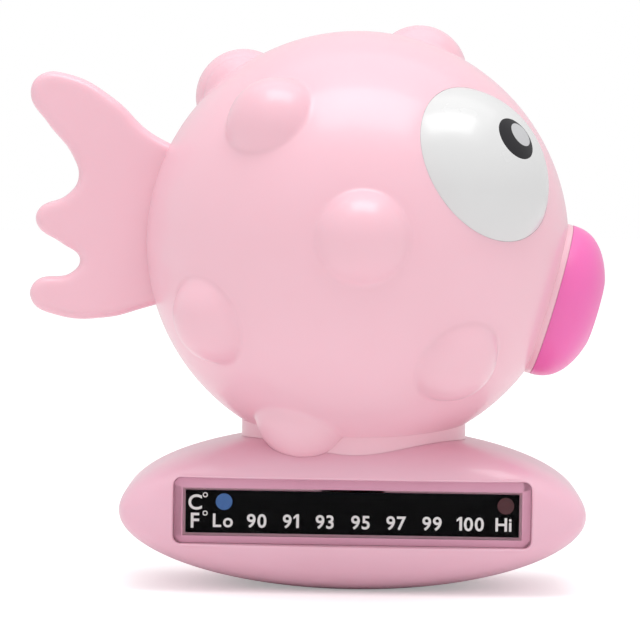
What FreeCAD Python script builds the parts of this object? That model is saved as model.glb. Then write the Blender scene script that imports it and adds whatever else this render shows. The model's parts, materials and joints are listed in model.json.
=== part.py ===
import FreeCAD, Part
import math
import os

# Floating bath thermometer: a hollow puffer-fish float on a weighted pod that carries a
# liquid-crystal temperature strip. Millimetres, +Z up, +X towards the fish's mouth, and the
# strip faces -Y. The origin is the middle of the pod's flat foot.

# Round body
ball_radius = 44.0
ball_forward = 0.2          # centre ahead of the pod's middle
body_wall = 2.0

# Bumps on the round body, each a dome: (turn about Z from +X, rise above level), degrees
bump_radius = 9.3
bump_stand = 5.2
near_bumps = ((-121.9, 37.0), (-88.6, 2.7), (-137.7, -21.2), (-56.2, -32.1), (-123.4, -61.3))
far_bumps = ((166.5, 50.2), (38.7, 65.8), (100.0, 22.0), (140.0, -12.0), (62.0, -24.0),
             (104.0, -38.0))

# Eyes
eye_turn = 46.7
eye_rise = 24.5
eye_radius = 16.9
eye_stand = 5.5
eye_recess = 0.8
pupil_turn = 40.6
pupil_rise = 29.8
pupil_radius = 4.65
glint_turn = 35.0
glint_rise = 31.9
glint_radius = 2.65
inlay_depth = 0.6
stem_radius = 3.0
stem_length = 5.0

# Mouth
mouth_pitch = 15.5          # below level
mouth_radius = 16.1
mouth_seat_sink = 1.8       # seat plane below the ball's surface
mouth_stand = 10.5
mouth_round = 1.9           # fullness of the profile below its widest ring
dimple_radius = 6.5
dimple_depth = 3.2
mouth_stem_radius = 5.0
mouth_stem_length = 7.0
mouth_seat_wall = 2.0

# Tail fin, in the middle plane: (reach behind the ball's surface, height from its centre)
tail_thickness = 5.6
tail_edge_round = 2.0
tail_root = -7.0
tail_outline = (
    (-0.2, 22.5), (7.0, 29.1), (16.4, 34.1), (22.5, 34.0), (24.6, 30.2), (20.9, 23.9),
    (15.7, 17.3), (14.4, 12.5), (16.7, 9.1), (22.7, 5.9), (23.0, 2.9), (17.6, -1.2),
    (13.9, -4.3), (15.6, -7.1), (23.3, -9.2), (24.0, -13.0), (18.8, -16.1), (7.8, -16.4),
    (0.8, -14.5),
)
tail_root_top = 18.9
tail_root_bottom = -12.1

# Neck between the ball and the pod, oval
neck_half_width = 23.4
neck_half_depth = 20.0
neck_gap = 1.34             # from the pod's top to the ball at the neck's sides
spigot_step = 2.5
spigot_wall = 2.0
spigot_reach = 7.0          # below the collar's lowest edge
seal_gap = 1.2
seal_height = 2.2

# Pod
pod_half_length = 48.1
pod_half_height = 16.6
pod_half_depth = 22.8
foot_cut = 0.4              # taken off the pod's underside
pod_plan_power = 9.0
pod_side_power = 3.4
pod_wall = 2.0
pod_stations = 17
pod_last_station = 80.0     # degrees of the sine spacing at the flat front and back

# Pocket, window and strip on the pod's front
pocket_length = 72.9
pocket_height = 13.5
pocket_corner = 1.6
pocket_raise = 0.65         # middle above the pod's middle
strip_raise = 0.3           # the same for the strip and its chamber
window_setback = 2.4        # window's outer face behind the pod's foremost point
window_thickness = 1.0
window_clearance = 0.1
gasket_thickness = 0.3
chamber_length = 69.2
chamber_height = 9.8
chamber_depth = 1.2
strip_length = 68.1
strip_height = 8.7
film_thickness = 0.25
crystal_thickness = 0.15
backing_thickness = 0.15
adhesive_thickness = 0.15
cell_count = 9
cell_pitch = 7.16
first_cell = -26.4
cell_length = 6.2
cell_height = 3.9
cell_drop = 1.7
dot_radius = 1.7
dot_thickness = 0.05
dot_rise = 2.05
cold_dot_place = -26.2
hot_dot_place = 31.3

# Ballast weight on two posts inside the pod
ballast_length = 46.0
ballast_depth = 24.0
ballast_thickness = 8.0
ballast_corner = 4.0
post_radius = 2.0
post_foot_radius = 3.5
post_foot_top = 4.5
post_inset_x = 9.0          # from the weight's end
post_inset_y = 5.0          # from the weight's side
post_spare = 3.0
floor_height = 2.0
washer_thickness = 1.0
washer_radius = 5.0

# Register pegs that align the two halves of each shell
peg_radius = 1.5
peg_length = 4.0
peg_boss_radius = 3.2
peg_boss_length = 5.5
body_peg_angles = (70.0, 150.0, 215.0, 318.0)

fit_clearance = 0.1
touch_gap = 0.05
big = 400.0

pod_height = pod_half_height - foot_cut
ball_rise = math.sqrt(ball_radius ** 2 - neck_half_width ** 2)
ball_height = pod_height + pod_half_height + neck_gap + ball_rise
centre = FreeCAD.Vector(ball_forward, 0, ball_height)
cavity_radius = ball_radius - body_wall
mouth_seat = ball_radius - mouth_seat_sink
window_face = pod_half_depth - window_setback
post_spacing_x = ballast_length / 2 - post_inset_x
post_spacing_y = ballast_depth / 2 - post_inset_y


def direction(turn, rise):
    level = math.cos(math.radians(rise))
    x = level * math.cos(math.radians(turn))
    y = level * math.sin(math.radians(turn))
    return FreeCAD.Vector(x, y, math.sin(math.radians(rise)))


def ball(radius):
    return Part.makeSphere(radius, centre)


def dome_sphere(base_radius, stand, grow=0.0):
    """Distance from the ball's centre, and radius, of the sphere that makes a dome on the ball."""
    base_plane = math.sqrt(ball_radius ** 2 - base_radius ** 2)
    height = ball_radius + stand - base_plane
    radius = (base_radius ** 2 + height ** 2) / (2 * height)
    return ball_radius + stand - radius, radius + grow


def rod(radius, start, end, axis):
    """A cylinder along a line through the ball's centre, between two distances from it."""
    return Part.makeCylinder(radius, end - start, centre + axis * start, axis)


def ring(outer, inner, start, end, axis):
    return rod(outer, start, end, axis).cut(rod(inner, start - 1, end + 1, axis))


def block(x_low, x_high, y_low, y_high, z_low, z_high):
    low = FreeCAD.Vector(x_low, y_low, z_low)
    return Part.makeBox(x_high - x_low, y_high - y_low, z_high - z_low, low)


def near_half(shape):
    return shape.common(block(-big, big, -big, 0, -big, big))


def far_half(shape):
    return shape.common(block(-big, big, 0, big, -big, big))


def mirror_y(shape):
    return shape.mirror(FreeCAD.Vector(0, 0, 0), FreeCAD.Vector(0, 1, 0))


def oval(half_width, half_depth, z_low, z_high):
    long_end = FreeCAD.Vector(half_width, 0, z_low)
    short_end = FreeCAD.Vector(0, half_depth, z_low)
    if half_width < half_depth:
        long_end, short_end = short_end, long_end
    edge = Part.Ellipse(long_end, short_end, FreeCAD.Vector(0, 0, z_low)).toShape()
    return Part.Face(Part.Wire(edge)).extrude(FreeCAD.Vector(0, 0, z_high - z_low))


def oval_ring(half_width, half_depth, wall, z_low, z_high):
    outer = oval(half_width, half_depth, z_low, z_high)
    return outer.cut(oval(half_width - wall, half_depth - wall, z_low - 1, z_high + 1))


def pod_solid(grow):
    """The pod's outer shape grown all round: ovals in the XZ plane, lofted from front to back."""
    wires = []
    for station in range(pod_stations):
        angle = math.radians(pod_last_station * (2 * station / (pod_stations - 1) - 1))
        depth = abs(math.sin(angle))
        wide = (pod_half_length + grow) * (1 - depth ** pod_plan_power) ** (1 / pod_plan_power)
        tall = (pod_half_height + grow) * (1 - depth ** pod_side_power) ** (1 / pod_side_power)
        y = (pod_half_depth + grow) * math.sin(angle)
        side = FreeCAD.Vector(wide, y, pod_height)
        top = FreeCAD.Vector(0, y, pod_height + tall)
        oval_edge = Part.Ellipse(side, top, FreeCAD.Vector(0, y, pod_height)).toShape()
        wires.append(Part.Wire(oval_edge))
    return Part.makeLoft(wires, True)


def panel(length, height, front, back, raised, corner=0.0):
    """A plate in the strip's pocket, between two distances ahead of the middle plane."""
    middle = pod_height + raised
    plate = block(-length / 2, length / 2, -front, -back, middle - height / 2, middle + height / 2)
    if corner > 0:
        edges = [e for e in plate.Edges if abs(e.tangentAt(e.FirstParameter).y) > 0.99]
        plate = plate.makeFillet(corner, edges)
    return plate


def tail_fin():
    points = [FreeCAD.Vector(ball_forward - ball_radius - reach, 0, ball_height + height)
              for reach, height in tail_outline]
    root_x = ball_forward - ball_radius - tail_root
    top = FreeCAD.Vector(root_x, 0, ball_height + tail_root_top)
    bottom = FreeCAD.Vector(root_x, 0, ball_height + tail_root_bottom)
    curve = Part.BSplineCurve()
    curve.interpolate([top] + points + [bottom])
    outline = Part.Wire([curve.toShape(), Part.LineSegment(bottom, top).toShape()])
    face = Part.Face(outline)
    face.translate(FreeCAD.Vector(0, -tail_thickness / 2, 0))
    fin = face.extrude(FreeCAD.Vector(0, tail_thickness, 0))
    edges = []
    for edge in fin.Edges:
        flat = edge.BoundBox.YLength < 1e-3
        if flat and edge.BoundBox.XLength > 1:
            edges.append(edge)
    return fin.makeFillet(tail_edge_round, edges)


def eye_axis():
    return direction(-eye_turn, eye_rise)


def dome_rod(turn, rise, radius):
    """A rod out of the middle of the eye's dome, in its own direction, for the pupil and the glint."""
    distance, dome = dome_sphere(eye_radius, eye_stand)
    middle = centre + eye_axis() * distance
    return Part.makeCylinder(radius, dome + 5, middle, direction(-turn, rise))


def dome_skin(depth):
    distance, dome = dome_sphere(eye_radius, eye_stand)
    middle = centre + eye_axis() * distance
    return Part.makeSphere(dome, middle).cut(Part.makeSphere(dome - depth, middle))


def make_eye():
    axis = eye_axis()
    distance, dome = dome_sphere(eye_radius, eye_stand)
    cap = Part.makeSphere(dome, centre + axis * distance)
    cap = cap.common(rod(eye_radius, cavity_radius - 5, ball_radius + eye_stand + 1, axis))
    floor = ball_radius - eye_recess
    cap = cap.cut(ball(floor))
    stem = rod(stem_radius, floor - body_wall - stem_length, floor + 2, axis)
    eye = cap.fuse(stem)
    return eye.cut(dome_rod(pupil_turn, pupil_rise, pupil_radius).common(dome_skin(inlay_depth)))


def make_pupil():
    disc = dome_rod(pupil_turn, pupil_rise, pupil_radius).common(dome_skin(inlay_depth))
    return disc.cut(dome_rod(glint_turn, glint_rise, glint_radius))


def make_glint():
    disc = dome_rod(pupil_turn, pupil_rise, pupil_radius).common(dome_skin(inlay_depth))
    return disc.common(dome_rod(glint_turn, glint_rise, glint_radius))


def make_eye_washer():
    top = math.sqrt(cavity_radius ** 2 - washer_radius ** 2) - touch_gap
    return ring(washer_radius, stem_radius + touch_gap, top - washer_thickness, top, eye_axis())


def eye_seat():
    """What the eye takes out of the shell: a shallow round recess and the stem's hole."""
    axis = eye_axis()
    recess = rod(eye_radius + touch_gap, ball_radius - 8, ball_radius + 6, axis)
    recess = recess.cut(ball(ball_radius - eye_recess - touch_gap))
    hole = rod(stem_radius + fit_clearance, cavity_radius - 6, ball_radius + 2, axis)
    return recess.fuse(hole)


def mouth_axis():
    return direction(0, -mouth_pitch)


def make_mouth():
    axis = mouth_axis()
    steps = 14
    profile = []
    for step in range(steps + 1):
        angle = math.pi / 2 * step / steps
        radius = mouth_radius * math.cos(angle) ** (2 / mouth_round)
        height = mouth_stand * math.sin(angle) ** (2 / (mouth_round + 0.5))
        profile.append(FreeCAD.Vector(radius, 0, height))
    curve = Part.BSplineCurve()
    curve.interpolate(profile)
    axis_top = FreeCAD.Vector(0, 0, mouth_stand)
    axis_foot = FreeCAD.Vector(0, 0, 0)
    rim = FreeCAD.Vector(mouth_radius, 0, 0)
    edges = [curve.toShape(), Part.makeLine(axis_top, axis_foot), Part.makeLine(axis_foot, rim)]
    lips = Part.Face(Part.Wire(edges)).revolve(axis_foot, FreeCAD.Vector(0, 0, 1), 360)
    above = (dimple_radius ** 2 - dimple_depth ** 2) / (2 * dimple_depth)
    dimple = Part.makeSphere(above + dimple_depth, FreeCAD.Vector(0, 0, mouth_stand + above))
    lips = lips.cut(dimple)
    place = FreeCAD.Placement(centre + axis * mouth_seat,
                              FreeCAD.Rotation(FreeCAD.Vector(0, 0, 1), axis))
    lips.Placement = place
    stem = rod(mouth_stem_radius, mouth_seat - mouth_stem_length, mouth_seat + 2, axis)
    return lips.fuse(stem)


def make_mouth_washer():
    top = mouth_seat - mouth_seat_wall - touch_gap
    outer = washer_radius + mouth_stem_radius - stem_radius
    inner = mouth_stem_radius + touch_gap
    return ring(outer, inner, top - washer_thickness, top, mouth_axis())


def bump_domes(grow):
    """One sphere per bump, turned so that its seam and poles lie inside the ball."""
    distance, radius = dome_sphere(bump_radius, bump_stand, grow)
    domes = []
    for turn, rise in near_bumps + far_bumps:
        out = direction(turn, rise)
        dome = Part.makeSphere(radius)
        turned = FreeCAD.Rotation(FreeCAD.Vector(-1, 0, 0), out)
        dome.Placement = FreeCAD.Placement(centre + out * distance, turned)
        domes.append(dome)
    return domes


def body_outer():
    shape = ball(ball_radius)
    for bump in bump_domes(0.0):
        shape = shape.fuse(bump)
    axis = mouth_axis()
    shape = shape.cut(rod(mouth_radius, mouth_seat, mouth_seat + 20, axis))
    shape = shape.fuse(rod(mouth_radius, mouth_seat - body_wall - 2, mouth_seat, axis))
    shape = shape.fuse(tail_fin())
    neck_top = ball_height - cavity_radius * 0.7
    shape = shape.fuse(oval(neck_half_width, neck_half_depth, pod_height, neck_top))
    return shape.cut(pod_solid(touch_gap))


def body_cavity():
    shape = ball(cavity_radius)
    for bump in bump_domes(-body_wall):
        shape = shape.fuse(bump)
    low = ball_height - ball_radius + body_wall
    neck_floor = ball_height - ball_rise + body_wall
    shape = shape.cut(block(-big, big, -big, big, low - big, neck_floor))
    seat = rod(mouth_radius, mouth_seat - mouth_seat_wall, mouth_seat + 20, mouth_axis())
    return shape.cut(seat)


def spigot_ovals():
    width = neck_half_width - spigot_step
    depth = neck_half_depth - spigot_step
    return width, depth


def collar_foot():
    """The height where the collar's front edge meets the pod's curved top."""
    share = 1 - (neck_half_depth / pod_half_depth) ** pod_side_power
    return pod_height + pod_half_height * share ** (1 / pod_side_power)


def body_pegs():
    """Boss, peg and socket solids round the seam, inside the ball."""
    bosses = []
    pegs = []
    sockets = []
    for angle in body_peg_angles:
        out = FreeCAD.Vector(math.cos(math.radians(angle)), 0, math.sin(math.radians(angle)))
        spot = centre + out * (cavity_radius - peg_boss_radius + 0.6)
        start = spot - FreeCAD.Vector(0, peg_boss_length, 0)
        along = FreeCAD.Vector(0, 1, 0)
        bosses.append(Part.makeCylinder(peg_boss_radius, 2 * peg_boss_length, start, along))
        pegs.append(Part.makeCylinder(peg_radius, 2 * peg_length, spot - along * peg_length, along))
        socket_start = spot - along
        sockets.append(Part.makeCylinder(peg_radius + fit_clearance, peg_length + 1.5,
                                         socket_start, along))
    return bosses, pegs, sockets


def pod_pegs():
    bosses = []
    pegs = []
    sockets = []
    along = FreeCAD.Vector(0, 1, 0)
    for side in (-1, 1):
        x = side * (pod_half_length - pod_wall - peg_boss_radius + 0.6)
        spot = FreeCAD.Vector(x, 0, pod_height)
        bosses.append(Part.makeCylinder(peg_boss_radius, 2 * peg_boss_length,
                                        spot - along * peg_boss_length, along))
        pegs.append(Part.makeCylinder(peg_radius, 2 * peg_length, spot - along * peg_length, along))
        sockets.append(Part.makeCylinder(peg_radius + fit_clearance, peg_length + 1.5,
                                         spot - along, along))
    return bosses, pegs, sockets


def make_body_halves():
    shell = body_outer().cut(body_cavity())
    width, depth = spigot_ovals()
    neck_inside = ball_height - ball_rise + body_wall
    spigot = oval(width, depth, collar_foot() - spigot_reach, neck_inside)
    shell = shell.fuse(spigot)
    bosses, pegs, sockets = body_pegs()
    for boss in bosses:
        shell = shell.fuse(boss)
    bore = oval(width - spigot_wall, depth - spigot_wall, 0, neck_inside + 1)
    shell = shell.cut(bore)
    axis = mouth_axis()
    stem_hole = rod(mouth_stem_radius + fit_clearance, mouth_seat - 12, mouth_seat + 1, axis)
    shell = shell.cut(stem_hole)
    seat = eye_seat()
    near = near_half(shell).cut(seat)
    far = far_half(shell).cut(mirror_y(seat))
    for peg in pegs:
        near = near.fuse(peg)
    for socket in sockets:
        far = far.cut(socket)
    return near.removeSplitter(), far.removeSplitter()


def ballast_posts():
    """The post on the front half; the back half has it turned half round."""
    spot = FreeCAD.Vector(-post_spacing_x, -post_spacing_y, floor_height - 1)
    up = FreeCAD.Vector(0, 0, 1)
    foot = Part.makeCylinder(post_foot_radius, post_foot_top - floor_height + 1, spot, up)
    top = post_foot_top + ballast_thickness + washer_thickness + post_spare
    post = Part.makeCylinder(post_radius, top - floor_height + 1, spot, up)
    return foot.fuse(post)


def turn_half(shape):
    turned = shape.copy()
    turned.rotate(FreeCAD.Vector(0, 0, 0), FreeCAD.Vector(0, 0, 1), 180)
    return turned


def make_pod_halves():
    outer = pod_solid(0)
    cavity = pod_solid(-pod_wall).cut(block(-big, big, -big, big, -big, floor_height))
    tub_back = window_face - window_thickness - gasket_thickness - chamber_depth - pod_wall
    tub = panel(pocket_length + 2 * pod_wall, pocket_height + 2 * pod_wall,
                pod_half_depth + 1, tub_back, pocket_raise)
    shell = outer.cut(cavity).fuse(tub.common(outer))
    pocket = panel(pocket_length, pocket_height, pod_half_depth + 5,
                   window_face - window_thickness - gasket_thickness, pocket_raise, pocket_corner)
    chamber = panel(chamber_length, chamber_height, window_face,
                    window_face - window_thickness - gasket_thickness - chamber_depth, strip_raise)
    shell = shell.cut(pocket).cut(chamber)
    width, depth = spigot_ovals()
    shell = shell.cut(oval(width + seal_gap, depth + seal_gap, pod_height, ball_height))
    shell = shell.cut(block(-big, big, -big, big, -big, 0))
    bosses, pegs, sockets = pod_pegs()
    for boss in bosses:
        shell = shell.fuse(boss)
    front = near_half(shell)
    back = far_half(shell)
    front = front.fuse(ballast_posts())
    back = back.fuse(turn_half(ballast_posts()))
    for peg in pegs:
        front = front.fuse(peg)
    for socket in sockets:
        back = back.cut(socket)
    return front, back


def make_neck_seal():
    width, depth = spigot_ovals()
    top = collar_foot() - touch_gap
    outer_width = width + seal_gap - touch_gap
    outer_depth = depth + seal_gap - touch_gap
    wall = seal_gap - 2 * touch_gap
    return oval_ring(outer_width, outer_depth, wall, top - seal_height, top)


def make_window():
    slack = 2 * window_clearance
    return panel(pocket_length - slack, pocket_height - slack, window_face,
                 window_face - window_thickness, pocket_raise, pocket_corner - window_clearance)


def make_gasket():
    slack = 2 * window_clearance
    front = window_face - window_thickness
    frame = panel(pocket_length - slack, pocket_height - slack, front, front - gasket_thickness,
                  pocket_raise, pocket_corner - window_clearance)
    return frame.cut(panel(chamber_length, chamber_height, front + 1,
                           front - gasket_thickness - 1, strip_raise))


def strip_layers():
    """Adhesive, backing, crystal cells, film and the two ink dots, from the pocket's floor out."""
    floor = window_face - window_thickness - gasket_thickness - chamber_depth
    adhesive_face = floor + adhesive_thickness
    backing_face = adhesive_face + backing_thickness
    crystal_face = backing_face + crystal_thickness
    film_face = crystal_face + film_thickness
    adhesive = panel(strip_length - 1, strip_height - 1, adhesive_face, floor, strip_raise)
    backing = panel(strip_length, strip_height, backing_face, adhesive_face, strip_raise)
    film = panel(strip_length, strip_height, film_face, crystal_face, strip_raise)
    middle = pod_height + strip_raise
    cells = []
    for number in range(cell_count):
        x = first_cell + cell_pitch * number
        cells.append(block(x - cell_length / 2, x + cell_length / 2, -crystal_face, -backing_face,
                           middle - cell_drop - cell_height / 2,
                           middle - cell_drop + cell_height / 2))
    dots = []
    for place in (cold_dot_place, hot_dot_place):
        spot = FreeCAD.Vector(place, -film_face, middle + dot_rise)
        dots.append(Part.makeCylinder(dot_radius, dot_thickness, spot, FreeCAD.Vector(0, -1, 0)))
    return adhesive, backing, Part.makeCompound(cells), film, dots


def make_ballast():
    low = post_foot_top + touch_gap
    plate = block(-ballast_length / 2, ballast_length / 2, -ballast_depth / 2, ballast_depth / 2,
                  low, low + ballast_thickness)
    edges = [e for e in plate.Edges if abs(e.tangentAt(e.FirstParameter).z) > 0.99]
    plate = plate.makeFillet(ballast_corner, edges)
    hole = Part.makeCylinder(post_radius + fit_clearance, big,
                             FreeCAD.Vector(-post_spacing_x, -post_spacing_y, 0))
    return plate.cut(hole).cut(turn_half(hole))


def make_ballast_washers():
    low = post_foot_top + ballast_thickness + 2 * touch_gap
    spot = FreeCAD.Vector(-post_spacing_x, -post_spacing_y, low)
    washer = Part.makeCylinder(washer_radius, washer_thickness, spot)
    washer = washer.cut(Part.makeCylinder(post_radius + touch_gap, big, spot))
    return Part.makeCompound([washer, turn_half(washer)])


def write(shape, node):
    bad = [s for s in shape.Solids if not s.isValid() or s.Volume <= 0]
    if bad or not shape.Solids:
        raise RuntimeError(node + " is not a clean solid")
    shape.exportStep("parts/" + node + ".step")
    print(node, len(shape.Solids), round(shape.Volume, 1))


os.makedirs("parts", exist_ok=True)

right_shell, left_shell = make_body_halves()
write(right_shell, "right_body_shell")
write(left_shell, "left_body_shell")

eye = make_eye()
pupil = make_pupil()
glint = make_glint()
eye_washer = make_eye_washer()
for name, shape in (("eye", eye), ("pupil", pupil), ("glint", glint), ("eye_washer", eye_washer)):
    write(shape, "right_" + name)
    write(mirror_y(shape), "left_" + name)

write(make_mouth(), "mouth")
write(make_mouth_washer(), "mouth_washer")
write(make_neck_seal(), "neck_seal")

pod_front, pod_back = make_pod_halves()
write(pod_front, "pod_front_shell")
write(pod_back, "pod_back_shell")

write(make_window(), "strip_window")
write(make_gasket(), "window_gasket")
strip_adhesive, strip_backing, crystal_cells, strip_film, colour_dots = strip_layers()
write(strip_adhesive, "strip_adhesive")
write(strip_backing, "strip_backing")
write(crystal_cells, "crystal_cells")
write(strip_film, "strip_film")
write(colour_dots[0], "cold_dot")
write(colour_dots[1], "hot_dot")

write(make_ballast(), "ballast_weight")
write(make_ballast_washers(), "ballast_washers")
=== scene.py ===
import bpy
import bmesh
import json
import math
from mathutils import Matrix, Quaternion, Vector


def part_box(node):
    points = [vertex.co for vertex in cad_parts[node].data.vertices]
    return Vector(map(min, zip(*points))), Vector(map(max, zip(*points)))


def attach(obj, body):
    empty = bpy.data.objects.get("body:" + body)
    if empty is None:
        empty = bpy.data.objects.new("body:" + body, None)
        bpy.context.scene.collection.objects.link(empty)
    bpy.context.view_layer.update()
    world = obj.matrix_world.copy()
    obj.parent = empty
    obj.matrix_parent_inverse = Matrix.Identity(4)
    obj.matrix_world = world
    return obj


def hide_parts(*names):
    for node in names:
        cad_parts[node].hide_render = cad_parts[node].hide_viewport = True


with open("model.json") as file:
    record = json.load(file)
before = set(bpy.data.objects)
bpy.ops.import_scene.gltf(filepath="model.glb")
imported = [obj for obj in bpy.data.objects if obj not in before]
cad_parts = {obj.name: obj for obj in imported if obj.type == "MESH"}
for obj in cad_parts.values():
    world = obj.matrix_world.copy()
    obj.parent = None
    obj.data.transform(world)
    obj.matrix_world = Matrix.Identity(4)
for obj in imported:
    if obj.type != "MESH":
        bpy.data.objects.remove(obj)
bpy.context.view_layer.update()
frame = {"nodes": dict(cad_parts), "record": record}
mm = 0.001
creaseAngle = 28   # degrees, edges sharper than this stay sharp
scene = bpy.context.scene

# sizes in mm, angles in degrees: turn is about Z from +X, rise is above level;
# ball, neck and pod come first because they set the height of the rest
ball = {
    "radius": 44.0, "wall": 2.0, "forward": 0.2, "neckGap": 1.34, "perSide": 133,
    "bumpRadius": 9.3, "bumpStand": 5.2, "crease": 1.3, "seamDepth": 0.14,
    "bumps": [(-121.9, 37.0), (-88.6, 2.7), (-137.7, -21.2), (-56.2, -32.1), (-123.4, -61.3),
              (166.5, 50.2), (38.7, 65.8), (100.0, 22.0), (140.0, -12.0), (62.0, -24.0),
              (104.0, -38.0)],
}
neck = {"halfWidth": 23.4, "halfDepth": 20.0, "step": 2.5, "wall": 2.0, "reach": 7.0,
        "holeGap": 1.2}
pod = {
    "halfLength": 48.1, "halfHeight": 16.6, "halfDepth": 22.8, "footCut": 0.4, "wall": 2.0,
    "planPower": 9.0, "sidePower": 3.4, "lastStation": 80.0, "capShare": 0.12,
    "around": 320, "stations": 180, "insideAround": 96, "insideStations": 72, "floor": 2.0,
    "gap": 0.05,
}

podMiddle = pod["halfHeight"] - pod["footCut"]
ballRise = math.sqrt(ball["radius"] ** 2 - neck["halfWidth"] ** 2)
ballHeight = podMiddle + pod["halfHeight"] + ball["neckGap"] + ballRise
ballCentre = Vector((ball["forward"], 0, ballHeight))


def direction(turn, rise):
    level = math.cos(math.radians(rise))
    return Vector((level * math.cos(math.radians(turn)), level * math.sin(math.radians(turn)),
                   math.sin(math.radians(rise))))


def domeOf(baseRadius, stand):
    height = ball["radius"] + stand - math.sqrt(ball["radius"] ** 2 - baseRadius ** 2)
    radius = (baseRadius ** 2 + height ** 2) / (2 * height)
    return ball["radius"] + stand - radius, radius


def addNode(tree, kind, **values):
    node = tree.nodes.new(kind)
    for key, value in values.items():
        if key in node.inputs:
            node.inputs[key].default_value = value
        else:
            setattr(node, key, value)
    return node


driftEnds = (0.32, 0.68)    # where the drift reaches its deep and its light colour
smudgeEnds = (0.3, 0.75)    # the part of the noise that is spread over the roughness


def surface(name, colour, deep, **look):
    # a moulded finish: slow colour drift, smudged roughness, fine skin and a little streaky rub in
    # the roughness
    material = bpy.data.materials.new(name)
    material.use_nodes = True
    tree = material.node_tree
    shader = tree.nodes["Principled BSDF"]
    place = addNode(tree, "ShaderNodeTexCoord").outputs["Object"]
    drift = addNode(tree, "ShaderNodeTexNoise", Scale=look.get("driftScale", 38.0), Detail=3.0)
    skin = addNode(tree, "ShaderNodeTexNoise", Scale=look.get("skinScale", 1400.0), Detail=2.0)
    smudge = addNode(tree, "ShaderNodeTexNoise", Scale=look.get("smudgeScale", 95.0), Detail=5.0)
    rubSize = addNode(tree, "ShaderNodeMapping")
    rubSize.inputs["Scale"].default_value = look.get("rubStretch", (60.0, 700.0, 420.0))
    rub = addNode(tree, "ShaderNodeTexNoise", Scale=1.0, Detail=4.0)
    for noise in (drift, skin, smudge):
        tree.links.new(place, noise.inputs["Vector"])
    tree.links.new(place, rubSize.inputs["Vector"])
    tree.links.new(rubSize.outputs["Vector"], rub.inputs["Vector"])

    tint = addNode(tree, "ShaderNodeValToRGB")
    tint.color_ramp.elements[0].position = driftEnds[0]
    tint.color_ramp.elements[0].color = (*deep, 1)
    tint.color_ramp.elements[1].position = driftEnds[1]
    tint.color_ramp.elements[1].color = (*colour, 1)
    tree.links.new(drift.outputs["Fac"], tint.inputs["Fac"])
    tree.links.new(tint.outputs["Color"], shader.inputs["Base Color"])

    rough = look.get("rough", 0.2)
    spread = look.get("spread", 0.06)
    smudged = addNode(tree, "ShaderNodeMapRange")
    smudged.inputs["From Min"].default_value = smudgeEnds[0]
    smudged.inputs["From Max"].default_value = smudgeEnds[1]
    smudged.inputs["To Min"].default_value = rough - spread
    smudged.inputs["To Max"].default_value = rough + spread
    tree.links.new(smudge.outputs["Fac"], smudged.inputs["Value"])
    rubbed = addNode(tree, "ShaderNodeMath", operation="MULTIPLY_ADD")
    rubbed.inputs[1].default_value = look.get("rub", 0.05)
    tree.links.new(rub.outputs["Fac"], rubbed.inputs[0])
    tree.links.new(smudged.outputs["Result"], rubbed.inputs[2])
    tree.links.new(rubbed.outputs["Value"], shader.inputs["Roughness"])

    bump = addNode(tree, "ShaderNodeBump", Strength=look.get("bump", 0.05), Distance=0.0001)
    tree.links.new(skin.outputs["Fac"], bump.inputs["Height"])
    tree.links.new(bump.outputs["Normal"], shader.inputs["Normal"])
    for socket, value in look.get("shader", {}).items():
        shader.inputs[socket].default_value = value
    return material


def seeThrough(material, flat, edge):
    # clear sheet: hardly there face on, and more of it the further it turns away
    tree = material.node_tree
    glance = addNode(tree, "ShaderNodeLayerWeight", Blend=0.12)
    cover = addNode(tree, "ShaderNodeMapRange")
    cover.inputs["To Min"].default_value = flat
    cover.inputs["To Max"].default_value = edge
    tree.links.new(glance.outputs["Facing"], cover.inputs["Value"])
    tree.links.new(cover.outputs["Result"], tree.nodes["Principled BSDF"].inputs["Alpha"])


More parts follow.
